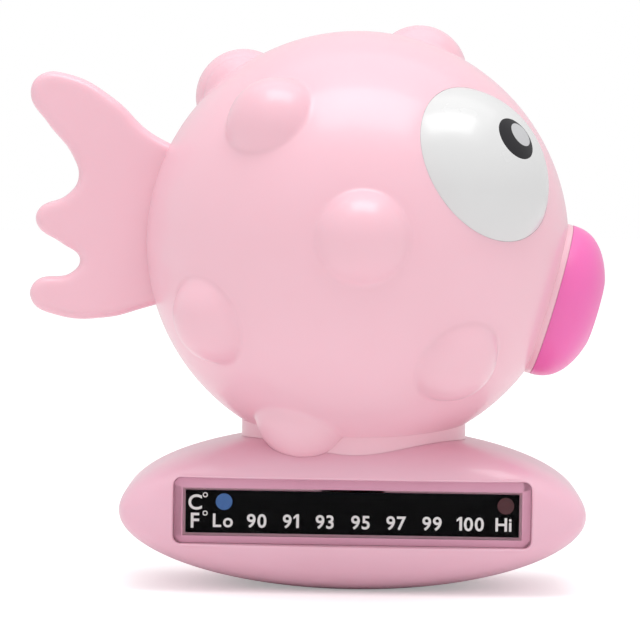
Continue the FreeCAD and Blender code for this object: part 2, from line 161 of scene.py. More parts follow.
softPlastic = {"Subsurface Weight": 0.12, "Subsurface Scale": 0.0015,
               "Subsurface Radius": (1.0, 0.45, 0.5), "Coat Weight": 0.4, "Coat Roughness": 0.13}
looks = {
    "pink_plastic": surface("shellPink", (0.90, 0.535, 0.62), (0.885, 0.52, 0.60),
                            rough=0.34, skinScale=900.0, bump=0.03, shader=softPlastic),
    # the pod is the shell's plastic; its darker, more mauve pink is painted shade from the ball
    # above, not a colour of its own
    "pod_plastic": surface("podPinkPaintedShade", (0.87, 0.515, 0.625), (0.85, 0.495, 0.60),
                           rough=0.36, skinScale=900.0, bump=0.03, shader=softPlastic),
    "eye_white": surface("eyeWhite", (0.71, 0.71, 0.71), (0.695, 0.695, 0.695), rough=0.25,
                         skinScale=700.0, bump=0.012, spread=0.03, rub=0.02,
                         shader={"Coat Weight": 0.35, "Coat Roughness": 0.1}),
    "pupil_dark": surface("pupilInk", (0.022, 0.021, 0.024), (0.016, 0.015, 0.018), rough=0.3,
                           shader={"Specular IOR Level": 0.2}),
    "light_grey_print": surface("greyPrint", (0.54, 0.54, 0.55), (0.50, 0.50, 0.515),
                                rough=0.4, skinScale=2600.0),
    "mouth_magenta": surface("lipMagenta", (0.885, 0.165, 0.485), (0.86, 0.15, 0.455), rough=0.32,
                             shader={"Subsurface Weight": 0.15, "Subsurface Scale": 0.003,
                                     "Subsurface Radius": (1.0, 0.3, 0.4)}),
    "strip_black": surface("stripFilm", (0.0022, 0.0022, 0.0025), (0.0015, 0.0015, 0.0018),
                           rough=0.34, skinScale=2400.0, bump=0.03,
                           shader={"Specular IOR Level": 0.02}),
    "crystal": surface("crystalCoat", (0.02, 0.024, 0.022), (0.014, 0.016, 0.017), rough=0.6,
                       driftScale=600.0),
    "backing_black": surface("absorber", (0.006, 0.006, 0.006), (0.004, 0.004, 0.004), rough=0.7),
    "adhesive": surface("adhesive", (0.74, 0.73, 0.66), (0.68, 0.66, 0.58), rough=0.55,
                        smudgeScale=260.0),
    "gasket_pink": surface("gasketTape", (0.86, 0.45, 0.60), (0.82, 0.415, 0.56), rough=0.6,
                           skinScale=900.0, bump=0.25),
    "dot_blue": surface("dotBlue", (0.05, 0.16, 0.44), (0.04, 0.135, 0.38), rough=0.5,
                        driftScale=900.0),
    "dot_red": surface("dotRed", (0.085, 0.013, 0.019), (0.06, 0.009, 0.014), rough=0.5,
                       driftScale=900.0),
    "seal_rubber": surface("sealRubber", (0.032, 0.032, 0.034), (0.022, 0.022, 0.023), rough=0.65,
                           bump=0.25),
    "steel": surface("springSteel", (0.58, 0.57, 0.56), (0.48, 0.47, 0.46), rough=0.3,
                     rub=0.2, shader={"Metallic": 1.0}),
    "ballast_steel": surface("zincPlate", (0.52, 0.53, 0.55), (0.40, 0.41, 0.44), rough=0.42,
                             driftScale=260.0, bump=0.3, shader={"Metallic": 1.0}),
    "window_clear": surface("windowClear", (0.035, 0.03, 0.034), (0.025, 0.02, 0.024),
                            rough=0.05, spread=0.015, rub=0.02, bump=0.01,
                            shader={"IOR": 1.49}),
}
seeThrough(looks["window_clear"], flat=0.02, edge=0.5)
ink = surface("scaleInk", (0.90, 0.90, 0.89), (0.85, 0.85, 0.84), rough=0.5, skinScale=2600.0)
print("materials:", len(looks))


# from here on every shape is in mm until its piece is finished
def meshObject(name, vertices, faces):
    mesh = bpy.data.meshes.new(name)
    mesh.from_pydata([tuple(v) for v in vertices], [], faces)
    made = bpy.data.objects.new(name, mesh)
    scene.collection.objects.link(made)
    turnOut(made)
    return made


def turnOut(thing, merge=1e-5):
    work = bmesh.new()
    work.from_mesh(thing.data)
    bmesh.ops.remove_doubles(work, verts=work.verts, dist=merge)
    bmesh.ops.recalc_face_normals(work, faces=work.faces)
    work.to_mesh(thing.data)
    work.free()


def settled(thing):
    # the evaluated shape as a plain mesh, with every modifier gone
    mesh = bpy.data.meshes.new_from_object(
        thing.evaluated_get(bpy.context.evaluated_depsgraph_get()))
    thing.modifiers.clear()
    thing.data = mesh


def combine(thing, tool, operation):
    change = thing.modifiers.new(operation.lower(), "BOOLEAN")
    change.operation = operation
    change.solver = "MANIFOLD"
    change.object = tool
    bpy.context.view_layer.update()
    settled(thing)
    bpy.data.objects.remove(tool)


def copyOf(thing, name):
    made = bpy.data.objects.new(name, thing.data.copy())
    scene.collection.objects.link(made)
    return made


def box(name, low, high):
    corners = [(x, y, z) for x in (low[0], high[0]) for y in (low[1], high[1])
               for z in (low[2], high[2])]
    faces = [(0, 1, 3, 2), (4, 6, 7, 5), (0, 4, 5, 1), (2, 3, 7, 6), (0, 2, 6, 4), (1, 5, 7, 3)]
    return meshObject(name, corners, faces)


def prism(name, ring, along):
    # a closed solid from a loop of points, pushed along a vector
    count = len(ring)
    points = [Vector(p) for p in ring]
    points += [p + Vector(along) for p in points]
    faces = [tuple(range(count)), tuple(range(2 * count - 1, count - 1, -1))]
    faces += [(i, (i + 1) % count, count + (i + 1) % count, count + i) for i in range(count)]
    return meshObject(name, points, faces)


def oval(name, halfWidth, halfDepth, low, high, steps=192):
    ring = [(halfWidth * math.cos(2 * math.pi * i / steps),
             halfDepth * math.sin(2 * math.pi * i / steps), low) for i in range(steps)]
    return prism(name, ring, (0, 0, high - low))


quarters = [(1, 1), (-1, 1), (-1, -1), (1, -1)]


def roundedPanel(name, centre, length, height, front, back, corner):
    ring = []
    steps = 12
    for number, (sx, sz) in enumerate(quarters):
        for step in range(steps + 1):
            angle = math.pi / 2 * (number + step / steps)
            ring.append((centre[0] + sx * (length / 2 - corner) + corner * math.cos(angle), front,
                         centre[1] + sz * (height / 2 - corner) + corner * math.sin(angle)))
    return prism(name, ring, (0, back - front, 0))


def turned(name, profile, axis, start, steps=192):
    # a closed solid of revolution; profile runs (radius, height) from pole to pole
    sweep = Vector((0, 0, 1)).rotation_difference(axis)
    points = []
    faces = []
    rings = profile[1:-1]
    for radius, height in rings:
        for i in range(steps):
            angle = 2 * math.pi * i / steps
            points.append(start + sweep @ Vector((radius * math.cos(angle),
                                                  radius * math.sin(angle), height)))
    for row in range(len(rings) - 1):
        for i in range(steps):
            a = row * steps + i
            b = row * steps + (i + 1) % steps
            faces.append((a, b, b + steps, a + steps))
    for pole, row in ((profile[0], 0), (profile[-1], len(rings) - 1)):
        points.append(start + sweep @ Vector((0, 0, pole[1])))
        tip = len(points) - 1
        faces += [(tip, row * steps + i, row * steps + (i + 1) % steps) for i in range(steps)]
    return meshObject(name, points, faces)


def halves(whole, nearName, farName):
    # splits at y = 0 with two blocks larger than anything here
    other = copyOf(whole, farName)
    whole.name = nearName
    wide, low, high = 120, -50, 200
    combine(whole, box("nearSide", (-wide, -wide, low), (wide, 0, high)), "INTERSECT")
    combine(other, box("farSide", (-wide, 0, low), (wide, wide, high)), "INTERSECT")
    return other


def newTree(name, inputs):
    tree = bpy.data.node_groups.new(name, "GeometryNodeTree")
    tree.interface.new_socket("Geometry", in_out="INPUT", socket_type="NodeSocketGeometry")
    tree.interface.new_socket("Geometry", in_out="OUTPUT", socket_type="NodeSocketGeometry")
    for label, kind in inputs:
        tree.interface.new_socket(label, in_out="INPUT", socket_type=kind)
    return tree, tree.nodes.new("NodeGroupInput").outputs, tree.nodes.new("NodeGroupOutput")


class Wiring:
    # short calls for the maths of a rule; plain numbers go on the sockets, the rest is linked
    def __init__(self, tree):
        self.tree = tree

    def feed(self, socket, value):
        if isinstance(value, bpy.types.NodeSocket):
            self.tree.links.new(value, socket)
        else:
            socket.default_value = value

    def maths(self, operation, *values):
        node = addNode(self.tree, "ShaderNodeMath", operation=operation)
        for socket, value in zip(node.inputs, values):
            self.feed(socket, value)
        return node.outputs[0]

    def vector(self, operation, first, second=None, scale=None):
        node = addNode(self.tree, "ShaderNodeVectorMath", operation=operation)
        self.feed(node.inputs[0], first)
        if second is not None:
            self.feed(node.inputs[1], second)
        if scale is not None:
            self.feed(node.inputs["Scale"], scale)
        return node.outputs["Value" if operation == "DOT_PRODUCT" else "Vector"]

    def joined(self, x, y, z):
        node = addNode(self.tree, "ShaderNodeCombineXYZ")
        for socket, value in zip(node.inputs, (x, y, z)):
            self.feed(socket, value)
        return node.outputs[0]

    def parts(self, value):
        node = addNode(self.tree, "ShaderNodeSeparateXYZ")
        self.feed(node.inputs[0], value)
        return node.outputs


def endTree(tree, geometry, inputs, out):
    real = tree.nodes.new("GeometryNodeRealizeInstances")
    paint = tree.nodes.new("GeometryNodeSetMaterial")
    tree.links.new(geometry, real.inputs["Geometry"])
    tree.links.new(real.outputs[0], paint.inputs["Geometry"])
    tree.links.new(inputs["Material"], paint.inputs["Material"])
    tree.links.new(paint.outputs[0], out.inputs[0])


def runTree(thing, tree, values):
    rule = thing.modifiers.new(tree.name, "NODES")
    rule.node_group = tree
    for item in tree.interface.items_tree:
        if item.in_out == "INPUT" and item.name in values:
            rule[item.identifier] = values[item.name]
    thing.update_tag()
    bpy.context.view_layer.update()
    settled(thing)
    turnOut(thing)
    return thing


def ballTree():
    # one rule for the outside of the ball and its bumps
    tree, given, out = newTree("ballRule", [
        ("Per Side", "NodeSocketInt"), ("Ball Radius", "NodeSocketFloat"),
        ("Dome Distance", "NodeSocketFloat"), ("Dome Radius", "NodeSocketFloat"),
        ("Crease", "NodeSocketFloat"), ("Seam Depth", "NodeSocketFloat"),
        ("Centre", "NodeSocketVector"), ("Material", "NodeSocketMaterial")])
    wire = Wiring(tree)
    cube = addNode(tree, "GeometryNodeMeshCube")
    cube.inputs["Size"].default_value = (2, 2, 2)
    for side in ("Vertices X", "Vertices Y", "Vertices Z"):
        tree.links.new(given["Per Side"], cube.inputs[side])
    where = addNode(tree, "GeometryNodeInputPosition").outputs[0]
    even = wire.vector("TANGENT", wire.vector("SCALE", where, scale=math.pi / 4))
    outward = wire.vector("NORMALIZE", even)

    nearest = addNode(tree, "GeometryNodeSampleNearest", domain="POINT")
    tree.links.new(given["Geometry"], nearest.inputs["Geometry"])
    tree.links.new(outward, nearest.inputs["Sample Position"])
    pick = addNode(tree, "GeometryNodeSampleIndex", data_type="FLOAT_VECTOR", domain="POINT")
    tree.links.new(given["Geometry"], pick.inputs["Geometry"])
    tree.links.new(addNode(tree, "GeometryNodeInputPosition").outputs[0], pick.inputs["Value"])
    tree.links.new(nearest.outputs["Index"], pick.inputs["Index"])

    cosine = wire.vector("DOT_PRODUCT", outward, pick.outputs["Value"])
    along = wire.maths("MULTIPLY", given["Dome Distance"], cosine)
    sine = wire.maths("SUBTRACT", 1.0, wire.maths("MULTIPLY", cosine, cosine))
    offset = wire.maths("MULTIPLY", wire.maths("POWER", given["Dome Distance"], 2.0), sine)
    under = wire.maths("SUBTRACT", wire.maths("POWER", given["Dome Radius"], 2.0), offset)
    dome = wire.maths("ADD", along, wire.maths("SQRT", wire.maths("MAXIMUM", under, 0.0)))
    reach = wire.maths("SMOOTH_MAX", given["Ball Radius"], dome, given["Crease"])
    onSeam = wire.maths("LESS_THAN", wire.maths("ABSOLUTE", wire.parts(outward)[1]), 1e-4)
    reach = wire.maths("SUBTRACT", reach, wire.maths("MULTIPLY", onSeam, given["Seam Depth"]))
    place = wire.vector("ADD", wire.vector("SCALE", outward, scale=reach), given["Centre"])
    move = addNode(tree, "GeometryNodeSetPosition")
    tree.links.new(cube.outputs["Mesh"], move.inputs["Geometry"])
    tree.links.new(place, move.inputs["Position"])
    endTree(tree, move.outputs[0], given, out)
    return tree


domeDistance, domeRadius = domeOf(ball["bumpRadius"], ball["bumpStand"])
ballRule = ballTree()


def ballShape(name, radius, domeRadiusNow, perSide, crease, seam):
    centres = [direction(turn, rise) for turn, rise in ball["bumps"]]
    mesh = bpy.data.meshes.new(name)
    mesh.from_pydata([tuple(c) for c in centres], [], [])
    made = bpy.data.objects.new(name, mesh)
    scene.collection.objects.link(made)
    return runTree(made, ballRule, {
        "Per Side": perSide, "Ball Radius": radius, "Dome Distance": domeDistance,
        "Dome Radius": domeRadiusNow, "Crease": crease, "Seam Depth": seam,
        "Centre": ballCentre, "Material": looks["pink_plastic"]})


def podTree():
    # the pod's outside: ovals whose size falls away to front and back
    tree, given, out = newTree("podRule", [
        ("Around", "NodeSocketInt"), ("Stations", "NodeSocketInt"), ("Wide", "NodeSocketFloat"),
        ("Tall", "NodeSocketFloat"), ("Deep", "NodeSocketFloat"),
        ("Plan Power", "NodeSocketFloat"), ("Side Power", "NodeSocketFloat"),
        ("Last Station", "NodeSocketFloat"), ("Cap Share", "NodeSocketFloat"),
        ("Middle", "NodeSocketFloat"), ("Foot", "NodeSocketFloat"),
        ("Material", "NodeSocketMaterial")])
    wire = Wiring(tree)
    grid = addNode(tree, "GeometryNodeMeshGrid")
    tree.links.new(given["Around"], grid.inputs["Vertices X"])
    tree.links.new(given["Stations"], grid.inputs["Vertices Y"])
    where = wire.parts(addNode(tree, "GeometryNodeInputPosition").outputs[0])
    angle = wire.maths("MULTIPLY", where[0], 2 * math.pi)
    across = wire.maths("MULTIPLY", where[1], 2.0)
    share = wire.maths("ABSOLUTE", across)
    uncapped = wire.maths("SUBTRACT", 1.0, given["Cap Share"])
    capped = wire.maths("MINIMUM", 1.0, wire.maths("DIVIDE", share, uncapped))
    station = wire.maths("SINE", wire.maths("MULTIPLY", capped, given["Last Station"]))
    shrink = wire.maths("MINIMUM", 1.0, wire.maths(
        "DIVIDE", wire.maths("SUBTRACT", 1.0, share), given["Cap Share"]))

    def size(full, power):
        left = wire.maths("SUBTRACT", 1.0, wire.maths("POWER", station, power))
        return wire.maths("MULTIPLY", wire.maths("MULTIPLY", full, shrink),
                          wire.maths("POWER", left, wire.maths("DIVIDE", 1.0, power)))

    x = wire.maths("MULTIPLY", size(given["Wide"], given["Plan Power"]),
                   wire.maths("COSINE", angle))
    z = wire.maths("MULTIPLY", size(given["Tall"], given["Side Power"]),
                   wire.maths("SINE", angle))
    y = wire.maths("MULTIPLY", wire.maths("MULTIPLY", station, given["Deep"]),
                   wire.maths("SIGN", across))
    z = wire.maths("MAXIMUM", wire.maths("ADD", z, given["Middle"]), given["Foot"])
    move = addNode(tree, "GeometryNodeSetPosition")
    tree.links.new(grid.outputs["Mesh"], move.inputs["Geometry"])
    tree.links.new(wire.joined(x, y, z), move.inputs["Position"])
    weld = addNode(tree, "GeometryNodeMergeByDistance")
    weld.inputs["Distance"].default_value = 1e-4
    tree.links.new(move.outputs[0], weld.inputs["Geometry"])
    endTree(tree, weld.outputs[0], given, out)
    return tree


podRule = podTree()


def podShape(name, grow, foot, around, stations):
    mesh = bpy.data.meshes.new(name)
    made = bpy.data.objects.new(name, mesh)
    scene.collection.objects.link(made)
    return runTree(made, podRule, {
        "Around": around, "Stations": stations, "Wide": pod["halfLength"] + grow,
        "Tall": pod["halfHeight"] + grow, "Deep": pod["halfDepth"] + grow,
        "Plan Power": pod["planPower"], "Side Power": pod["sidePower"],
        "Last Station": math.radians(pod["lastStation"]), "Cap Share": pod["capShare"],
        "Middle": podMiddle, "Foot": foot, "Material": looks["pod_plastic"]})


tail = {
    "thickness": 5.6, "edgeRound": 2.0, "root": -7.0, "rootTop": 18.9, "rootBottom": -12.1,
    "edgeSteps": 6, "voxel": 0.42, "smoothing": 0.5, "smoothTurns": 7,
    "outline": [(-0.2, 22.5), (7.0, 29.1), (16.4, 34.1), (22.5, 34.0), (24.6, 30.2),
                (20.9, 23.9), (15.7, 17.3), (14.4, 12.5), (16.7, 9.1), (22.7, 5.9),
                (23.0, 2.9), (17.6, -1.2), (13.9, -4.3), (15.6, -7.1), (23.3, -9.2),
                (24.0, -13.0), (18.8, -16.1), (7.8, -16.4), (0.8, -14.5)],
}


def tailShape():
    rear = ball["forward"] - ball["radius"]
    path = [(rear - tail["root"], tail["rootTop"])]
    path += [(rear - reach, height) for reach, height in tail["outline"]]
    path += [(rear - tail["root"], tail["rootBottom"])]
    line = bpy.data.curves.new("tailLine", "CURVE")
    line.dimensions = "3D"
    line.resolution_u = 10
    spline = line.splines.new("BEZIER")
    spline.bezier_points.add(len(path) - 1)
    for point, (x, height) in zip(spline.bezier_points, path):
        point.co = (x, 0, ballHeight + height)
        point.handle_left_type = point.handle_right_type = "AUTO"
    holder = bpy.data.objects.new("tailLine", line)
    scene.collection.objects.link(holder)
    bpy.context.view_layer.update()
    outline = bpy.data.meshes.new_from_object(
        holder.evaluated_get(bpy.context.evaluated_depsgraph_get()))
    ring = [v.co - Vector((0, tail["thickness"] / 2, 0)) for v in outline.vertices]
    bpy.data.objects.remove(holder)
    fin = prism("tailFin", ring, (0, tail["thickness"], 0))
    bevel = fin.modifiers.new("round", "BEVEL")
    bevel.width = tail["edgeRound"]
    bevel.segments = tail["edgeSteps"]
    bevel.limit_method = "ANGLE"
    bevel.angle_limit = math.radians(60)
    bevel.use_clamp_overlap = False
    remesh = fin.modifiers.new("even", "REMESH")
    remesh.mode = "VOXEL"
    remesh.voxel_size = tail["voxel"]
    soften = fin.modifiers.new("soften", "SMOOTH")
    soften.factor = tail["smoothing"]
    soften.iterations = tail["smoothTurns"]
    bpy.context.view_layer.update()
    settled(fin)
    turnOut(fin)
    return fin


# a dome in a shallow seat, with the pupil and its glint let in flush
eye = {
    "turn": 46.7, "rise": 24.5, "radius": 16.9, "stand": 5.5, "recess": 0.8, "gap": 0.05,
    "pupilTurn": 40.6, "pupilRise": 29.8, "pupilRadius": 4.65,
    "glintTurn": 35.0, "glintRise": 31.9, "glintRadius": 2.65, "inlay": 0.6,
    "footInset": 0.15, "footRise": 0.55, "seatOpen": 8, "wellGap": 0.02, "glintGap": 0.015,
}


def mirrored(axis, side):
    return Vector((axis[0], side * abs(axis[1]), axis[2]))


def eyeAxis(side):
    return mirrored(direction(-eye["turn"], eye["rise"]), side)


def eyeSeat(side):
    floor = ball["radius"] - eye["recess"] - eye["gap"]
    rim = eye["radius"] + eye["gap"]
    profile = [(0, floor)]
    steps = 24
    for step in range(1, steps + 1):
        radius = rim * step / steps
        profile.append((radius, math.sqrt(floor ** 2 - radius ** 2)))
    top = ball["radius"] + eye["seatOpen"]
    profile += [(rim, top), (0, top)]
    return turned("seat", profile, eyeAxis(side), ballCentre)


def eyeDome(name, side):
    distance, radius = domeOf(eye["radius"], eye["stand"])
    floor = ball["radius"] - eye["recess"]
    profile = [(0, floor)]
    footSteps, domeSteps = 16, 72
    for step in range(1, footSteps + 1):
        out = (eye["radius"] - eye["footInset"]) * step / footSteps
        profile.append((out, math.sqrt(floor ** 2 - out ** 2)))
    base = math.sqrt(ball["radius"] ** 2 - eye["radius"] ** 2)
    profile.append((eye["radius"], base - eye["footRise"]))
    full = math.asin(eye["radius"] / radius)
    if base < distance:
        full = math.pi - full
    for step in range(domeSteps, 0, -1):
        angle = full * step / domeSteps
        profile.append((radius * math.sin(angle), distance + radius * math.cos(angle)))
    profile.append((0, distance + radius))
    return turned(name, profile, eyeAxis(side), ballCentre, steps=224)


def domeRod(name, side, turn, rise, radius, depth, proud=1.0):
    # a plug from the middle of the eye's dome outwards, in its own direction
    distance, dome = domeOf(eye["radius"], eye["stand"])
    middle = ballCentre + eyeAxis(side) * distance
    axis = mirrored(direction(-turn, rise), side)
    low = dome - depth
    high = dome + proud
    lowOuts = [radius * step / 8 for step in range(1, 9)]
    highOuts = [radius * step / 24 for step in range(24, 0, -1)]
    profile = [(0, low)] + [(out, math.sqrt(low ** 2 - out ** 2)) for out in lowOuts]
    profile += [(out, math.sqrt(high ** 2 - out ** 2)) for out in highOuts] + [(0, high)]
    return turned(name, profile, axis, middle, steps=128)


def finishPiece(made, slot, nodes, material=None):
    # mm to metres, smooth shading with true creases, then onto the body
    made.data.transform(Matrix.Scale(mm, 4))
    made.data.materials.clear()
    made.data.materials.append(material or looks[slot])
    made.data.polygons.foreach_set("material_index", [0] * len(made.data.polygons))
    made.data.shade_smooth()
    made.data.set_sharp_from_angle(angle=math.radians(creaseAngle))
    made.data.update()
    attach(made, "root")
    if nodes:
        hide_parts(*nodes)
    triangles = sum(len(p.vertices) - 2 for p in made.data.polygons)
    print("piece", made.name, "triangles", triangles)


def makeEyes():
    for side, word in ((-1, "right"), (1, "left")):
        dome = eyeDome(word + "EyeDome", side)
        well = domeRod("well", side, eye["pupilTurn"], eye["pupilRise"],
                       eye["pupilRadius"] + eye["wellGap"], eye["inlay"] + eye["wellGap"])
        combine(dome, well, "DIFFERENCE")
        pupil = domeRod(word + "PupilInk", side, eye["pupilTurn"], eye["pupilRise"],
                        eye["pupilRadius"], eye["inlay"], proud=0.0)
        hole = domeRod("hole", side, eye["glintTurn"], eye["glintRise"],
                       eye["glintRadius"] + eye["glintGap"], eye["inlay"] + 1)
        combine(pupil, hole, "DIFFERENCE")
        spot = domeRod(word + "GlintSpot", side, eye["glintTurn"], eye["glintRise"],
                       eye["glintRadius"], eye["inlay"], proud=0.0)
        finishPiece(dome, "eye_white", [word + "_eye"])
        finishPiece(pupil, "pupil_dark", [word + "_pupil"])
        finishPiece(spot, "light_grey_print", [word + "_glint"])


mouth = {"pitch": 15.5, "radius": 16.1, "sink": 1.8, "stand": 10.5, "fullness": 1.9,
         "dimple": 6.5, "dimpleDepth": 3.2, "soften": 2.4, "seatWall": 2.0,
         "crownExtra": 0.5, "stemRadius": 5.0, "stemDepth": 6.0, "stemHole": 5.1}


def mouthShape():
    # one turned form with a soft dimple
    seat = ball["radius"] - mouth["sink"]
    stem, depth = mouth["stemRadius"], mouth["stemDepth"]
    profile = [(0, -depth), (stem, -depth), (stem, 0.0)]
    steps = 90
    outOfReach = 9.0   # keeps the bowl clear of the lips outside its rim
    above = (mouth["dimple"] ** 2 - mouth["dimpleDepth"] ** 2) / (2 * mouth["dimpleDepth"])
    bowl = above + mouth["dimpleDepth"]
    for step in range(steps + 1):
        angle = math.pi / 2 * step / steps
        radius = mouth["radius"] * math.cos(angle) ** (2 / mouth["fullness"])
        height = mouth["stand"] * math.sin(angle) ** (2 / (mouth["fullness"] + mouth["crownExtra"]))
        cup = mouth["stand"] + outOfReach
        if radius < bowl:
            cup = mouth["stand"] + above - math.sqrt(bowl ** 2 - radius ** 2)
        blend = max(mouth["soften"] - abs(height - cup), 0) / mouth["soften"]
        height = min(height, cup) - blend ** 3 * mouth["soften"] / 6
        profile.append((max(radius, 0.0), height))
    profile[-1] = (0, profile[-1][1])
    axis = direction(0, -mouth["pitch"])
    return turned("fishLips", profile, axis, ballCentre + axis * seat, steps=224)


body = {"mouthClear": 0.01, "bossDepth": 6, "bossEdge": 0.25, "bossBevel": 0.07, "past": 20,
        "collarInto": 0.7, "stemCut": 12, "insidePerSide": 41, "insideCrease": 0.001,
        "underDepth": -5.0, "underAround": 240, "underStations": 140}


def makeBody():
    # the skin, fin, collar and mouth seat are joined, then hollowed and split
    skin = ballShape("bodySkin", ball["radius"], domeRadius, ball["perSide"], ball["crease"],
                     ball["seamDepth"])
    seat = ball["radius"] - mouth["sink"]
    axis = direction(0, -mouth["pitch"])
    past = seat + body["past"]
    clear = mouth["radius"] + body["mouthClear"]
    flat = [(0, seat), (clear, seat), (clear, past), (0, past)]
    combine(skin, turned("flat", flat, axis, ballCentre), "DIFFERENCE")
    full, edge, bevel = mouth["radius"], body["bossEdge"], body["bossBevel"]
    boss = [(0, seat - body["bossDepth"]), (full, seat - body["bossDepth"]), (full, seat - edge),
            (full - bevel, seat - bevel), (full - edge, seat), (0, seat)]
    combine(skin, turned("boss", boss, axis, ballCentre), "UNION")
    combine(skin, tailShape(), "UNION")
    width = neck["halfWidth"] - neck["step"]
    depth = neck["halfDepth"] - neck["step"]
    neckTop = ballHeight - (ball["radius"] - ball["wall"]) * body["collarInto"]
    share = 1 - (neck["halfDepth"] / pod["halfDepth"]) ** pod["sidePower"]
    collarFoot = podMiddle + pod["halfHeight"] * share ** (1 / pod["sidePower"])
    combine(skin, oval("collar", neck["halfWidth"], neck["halfDepth"], podMiddle, neckTop),
            "UNION")
    below = podShape("below", pod["gap"], body["underDepth"], body["underAround"],
                     body["underStations"])
    combine(skin, below, "DIFFERENCE")
    inside = ball["radius"] - ball["wall"]
    neckFloor = ballHeight - ballRise + ball["wall"]
    combine(skin, oval("spigot", width, depth, collarFoot - neck["reach"], neckFloor), "UNION")
    room = ballShape("room", inside, domeRadius - ball["wall"], body["insidePerSide"],
                     body["insideCrease"], 0.0)
    combine(room, box("under", (-90, -90, -90), (90, 90, neckFloor)), "DIFFERENCE")
    start = seat - mouth["seatWall"]
    behind = [(0, start), (full, start), (full, past), (0, past)]
    combine(room, turned("behind", behind, axis, ballCentre), "DIFFERENCE")
    combine(skin, room, "DIFFERENCE")
    combine(skin, oval("bore", width - neck["wall"], depth - neck["wall"], 0, neckFloor + 1),
            "DIFFERENCE")
    hole, start = mouth["stemHole"], seat - body["stemCut"]
    stem = [(0, start), (hole, start), (hole, seat + 1), (0, seat + 1)]
    combine(skin, turned("stem", stem, axis, ballCentre), "DIFFERENCE")
    for side in (-1, 1):
        combine(skin, eyeSeat(side), "DIFFERENCE")
    other = halves(skin, "rightBodyHalf", "leftBodyHalf")
    finishPiece(skin, "pink_plastic", ["right_body_shell"])
    finishPiece(other, "pink_plastic", ["left_body_shell"])


pocket = {"corner": 1.6, "clearance": 0.1, "chamberLength": 69.2, "chamberHeight": 9.8,
          "chamberDepth": 1.2, "gasket": 0.3, "wall": 2.0, "lipRound": 0.5, "lipProud": 0.6,
          "lipOver": 0.12, "lipInto": 0.25, "cornerSteps": 10, "sideSteps": 14}


def podFront(x, z):
    # how far back the pod's front skin lies at a height and a place along it
    near, far = 0.0, math.sin(math.radians(pod["lastStation"]))
    for step in range(40):
        station = (near + far) / 2
        wide = pod["halfLength"] * (1 - station ** pod["planPower"]) ** (1 / pod["planPower"])
        tall = pod["halfHeight"] * (1 - station ** pod["sidePower"]) ** (1 / pod["sidePower"])
        if (x / wide) ** 2 + ((z - podMiddle) / tall) ** 2 < 1:
            near = station
        else:
            far = station
    return -near * pod["halfDepth"]


def lipCut(centre, length, height):
    # takes the sharp edge off the pocket: a ring whose inner side is a quarter round
    soft = pocket["lipRound"]
    outer, inner, proud = soft + pocket["lipOver"], -pocket["lipInto"], -pocket["lipProud"]
    side = [(outer, proud), (outer, 0.0)]
    for turn in range(0, 91, 15):
        bend = math.radians(turn)
        side.append((soft - soft * math.sin(bend), soft - soft * math.cos(bend)))
    side += [(inner, soft), (inner, proud)]
    bends, parts = pocket["cornerSteps"], pocket["sideSteps"]
    points = []
    count = 0
    for number, (sx, sz) in enumerate(quarters):
        nextX, nextZ = quarters[(number + 1) % 4]
        runs = [(sx, sz, math.pi / 2 * (number + step / bends), 0) for step in range(bends + 1)]
        runs += [(sx, sz, math.pi / 2 * (number + 1), share / parts) for share in range(1, parts)]
        for cornerX, cornerZ, angle, share in runs:
            baseX = cornerX * (length / 2 - pocket["corner"])
            baseZ = cornerZ * (height / 2 - pocket["corner"])
            baseX += share * (nextX - cornerX) * (length / 2 - pocket["corner"])
            baseZ += share * (nextZ - cornerZ) * (height / 2 - pocket["corner"])
            for out, deep in side:
                x = centre[0] + baseX + (pocket["corner"] + out) * math.cos(angle)
                z = centre[1] + baseZ + (pocket["corner"] + out) * math.sin(angle)
                points.append((x, podFront(x, z) + deep, z))
            count += 1
    width = len(side)
    faces = []
    for row in range(count):
        after = (row + 1) % count
        for step in range(width):
            follow = (step + 1) % width
            faces.append((row * width + step, row * width + follow, after * width + follow,
                          after * width + step))
    return meshObject("lipCut", points, faces)


def makePod():
    paneLow, paneHigh = [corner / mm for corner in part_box("strip_window")]
    filmLow, filmHigh = [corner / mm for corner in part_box("strip_film")]
    middle = ((paneLow.x + paneHigh.x) / 2, (paneLow.z + paneHigh.z) / 2)
    stripMiddle = (middle[0], (filmLow.z + filmHigh.z) / 2)
    length = paneHigh.x - paneLow.x + 2 * pocket["clearance"]
    height = paneHigh.z - paneLow.z + 2 * pocket["clearance"]
    pocketFloor = paneHigh.y + pocket["gasket"]
    chamberFloor = pocketFloor + pocket["chamberDepth"]
    skin = podShape("podSkin", 0.0, 0.0, pod["around"], pod["stations"])
    room = podShape("podRoom", -pod["wall"], pod["floor"], pod["insideAround"],
                    pod["insideStations"])
    tubX = length / 2 + pocket["wall"]
    tubZ = height / 2 + pocket["wall"]
    tub = box("tub", (middle[0] - tubX, -40, middle[1] - tubZ),
              (middle[0] + tubX, chamberFloor + pocket["wall"], middle[1] + tubZ))
    combine(room, tub, "DIFFERENCE")
    combine(skin, room, "DIFFERENCE")
    combine(skin, roundedPanel("hollow", middle, length, height, -40, pocketFloor,
                               pocket["corner"]), "DIFFERENCE")
    combine(skin, lipCut(middle, length, height), "DIFFERENCE")
    chamber = box("chamber", (stripMiddle[0] - pocket["chamberLength"] / 2, -30,
                              stripMiddle[1] - pocket["chamberHeight"] / 2),
                  (stripMiddle[0] + pocket["chamberLength"] / 2, chamberFloor,
                   stripMiddle[1] + pocket["chamberHeight"] / 2))
    combine(skin, chamber, "DIFFERENCE")
    combine(skin, oval("neckHole", neck["halfWidth"] - neck["step"] + neck["holeGap"],
                       neck["halfDepth"] - neck["step"] + neck["holeGap"], podMiddle, ballHeight),
            "DIFFERENCE")
    back = halves(skin, "podFrontHalf", "podBackHalf")
    finishPiece(skin, "pod_plastic", ["pod_front_shell"])
    finishPiece(back, "pod_plastic", ["pod_back_shell"])


